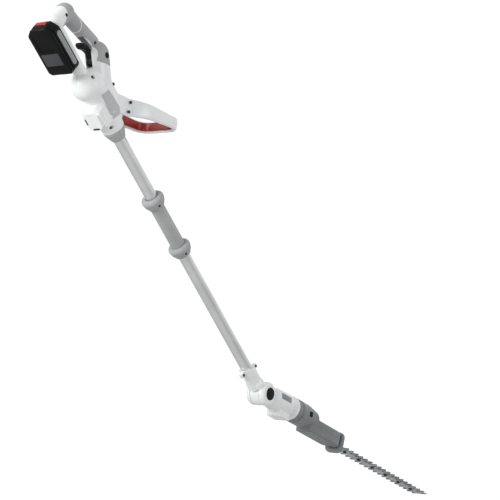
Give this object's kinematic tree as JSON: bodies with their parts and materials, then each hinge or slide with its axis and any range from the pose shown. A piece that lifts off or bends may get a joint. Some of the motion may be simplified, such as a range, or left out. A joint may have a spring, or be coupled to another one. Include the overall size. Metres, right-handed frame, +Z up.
{
  "type": "cordless pole hedge trimmer",
  "caption": "Battery pole hedge trimmer: closed trigger handle, front loop handle, aluminium pole with grip sleeve, tilting and turning head with a double-sided reciprocating blade.",
  "frame": {"origin": "middle of the bounding box, at the level of the battery's underside", "axes": "+X along the pole towards the cutter, +Z up with the battery below the handle, +Y to the user's left"},
  "size_m": [1.9406, 0.12, 0.4284],
  "materials": {
    "white_shell": "satin",
    "grey_soft_grip": "matte",
    "black_plastic": "satin",
    "red_plastic": "satin",
    "pole_aluminium": "satin anodised",
    "dark_grey_plastic": "moulded satin",
    "silver_trim": "satin",
    "circuit_board": "solder mask",
    "motor_can": "plain",
    "cell_steel": "plain",
    "blade_steel": "ground",
    "fastener_steel": "plain"
  },
  "bodies": {
    "handle": {"housing_left": "white_shell", "housing_right": "white_shell", "housing_screw_1": "fastener_steel", "housing_screw_2": "fastener_steel", "housing_screw_3": "fastener_steel", "housing_screw_4": "fastener_steel", "housing_screw_5": "fastener_steel", "grip_pad": "grey_soft_grip", "pole_collar": "grey_soft_grip", "trigger_switch": "black_plastic", "control_board": "circuit_board", "terminal_block": "black_plastic", "loop_handle": "white_shell", "loop_lining": "red_plastic", "loop_screw_1": "fastener_steel", "loop_screw_2": "fastener_steel", "upper_tube": "pole_aluminium", "lower_tube": "pole_aluminium", "coupling_core": "pole_aluminium", "coupling_sleeve": "grey_soft_grip", "upper_flange": "grey_soft_grip", "flange_screw_1": "fastener_steel", "lower_flange": "grey_soft_grip", "flange_screw_2": "fastener_steel", "motor_cable": "black_plastic", "neck_bracket": "white_shell", "clamp_screw_1": "fastener_steel", "clamp_screw_2": "fastener_steel", "joint_cap": "white_shell", "joint_pin": "fastener_steel"},
    "trigger": {"trigger": "black_plastic"},
    "lock_off_button": {"lock_off_button": "black_plastic"},
    "battery": {"battery_case": "black_plastic", "battery_base": "black_plastic", "battery_cells": "cell_steel", "battery_stripe_left": "silver_trim", "battery_stripe_right": "silver_trim"},
    "battery_release": {"battery_release": "red_plastic"},
    "tilt_lock_button": {"tilt_lock_button": "black_plastic"},
    "head": {"motor_housing_left": "white_shell", "motor_housing_right": "white_shell", "motor": "motor_can", "front_ring": "white_shell"},
    "gear_head": {"gear_case_upper": "dark_grey_plastic", "gear_case_lower": "dark_grey_plastic", "crank_shaft": "fastener_steel", "blade_guard": "dark_grey_plastic", "guide_bar": "blade_steel", "blade_bolt_1": "fastener_steel", "blade_bolt_2": "fastener_steel", "blade_bolt_3": "fastener_steel", "blade_bolt_4": "fastener_steel", "blade_bolt_5": "fastener_steel", "blade_bolt_6": "fastener_steel"},
    "rotation_lock_button": {"rotation_lock_button": "black_plastic"},
    "drive_pinion": {"drive_pinion": "fastener_steel"},
    "crank_gear": {"crank_gear": "fastener_steel"},
    "upper_blade": {"upper_blade": "blade_steel"},
    "lower_blade": {"lower_blade": "blade_steel"}
  },
  "joints": [
    {"name": "trigger_pull", "type": "hinge", "parent": "handle", "child": "trigger", "pos_m": [-0.81783, 0, 0.102], "axis": [0, 1, 0], "range_deg": [0, 8], "stiffness_Nm_per_rad": 0.6, "springref_deg": -5.73},
    {"name": "lock_off_press", "type": "slide", "parent": "handle", "child": "lock_off_button", "axis": [0, 1, 0], "range_m": [0, 0.004], "stiffness_N_per_m": 600, "springref_m": -0.002},
    {"name": "battery_slide", "type": "slide", "parent": "handle", "child": "battery", "axis": [-1, 0, 0], "range_m": [0, 0.12]},
    {"name": "battery_release_press", "type": "slide", "parent": "battery", "child": "battery_release", "axis": [1, 0, 0], "range_m": [0, 0.003], "stiffness_N_per_m": 600, "springref_m": -0.002},
    {"name": "head_tilt", "type": "hinge", "parent": "handle", "child": "head", "pos_m": [0.15517, 0, 0.056], "axis": [0, 1, 0], "range_deg": [-34, 101]},
    {"name": "tilt_lock_press", "type": "slide", "parent": "handle", "child": "tilt_lock_button", "axis": [0, 1, 0], "range_m": [0, 0.005], "stiffness_N_per_m": 600, "springref_m": -0.002},
    {"name": "gear_head_turn", "type": "hinge", "parent": "head", "child": "gear_head", "pos_m": [0.15319, 0, 0.06004], "axis": [0.8988, 0, 0.4384], "range_deg": [-90, 90]},
    {"name": "rotation_lock_press", "type": "slide", "parent": "gear_head", "child": "rotation_lock_button", "axis": [0, 1, 0], "range_m": [0, 0.003], "stiffness_N_per_m": 600, "springref_m": -0.002},
    {"name": "pinion_spin", "type": "hinge", "parent": "gear_head", "child": "drive_pinion", "pos_m": [0.15319, 0, 0.06004], "axis": [0.8988, 0, 0.4384], "continuous": true},
    {"name": "crank_spin", "type": "hinge", "parent": "gear_head", "child": "crank_gear", "pos_m": [0.42283, 0, 0.19156], "axis": [-0.4384, 0, 0.8988], "continuous": true},
    {"name": "upper_blade_stroke", "type": "slide", "parent": "gear_head", "child": "upper_blade", "axis": [0.8988, 0, 0.4384], "range_m": [-0.008, 0.008]},
    {"name": "lower_blade_stroke", "type": "slide", "parent": "gear_head", "child": "lower_blade", "axis": [0.8988, 0, 0.4384], "range_m": [-0.008, 0.008]}
  ],
  "couplings": [
    {"joint": "pinion_spin", "follows": "crank_spin", "ratio": -4},
    {"joint": "lower_blade_stroke", "follows": "upper_blade_stroke", "ratio": -1}
  ]
}
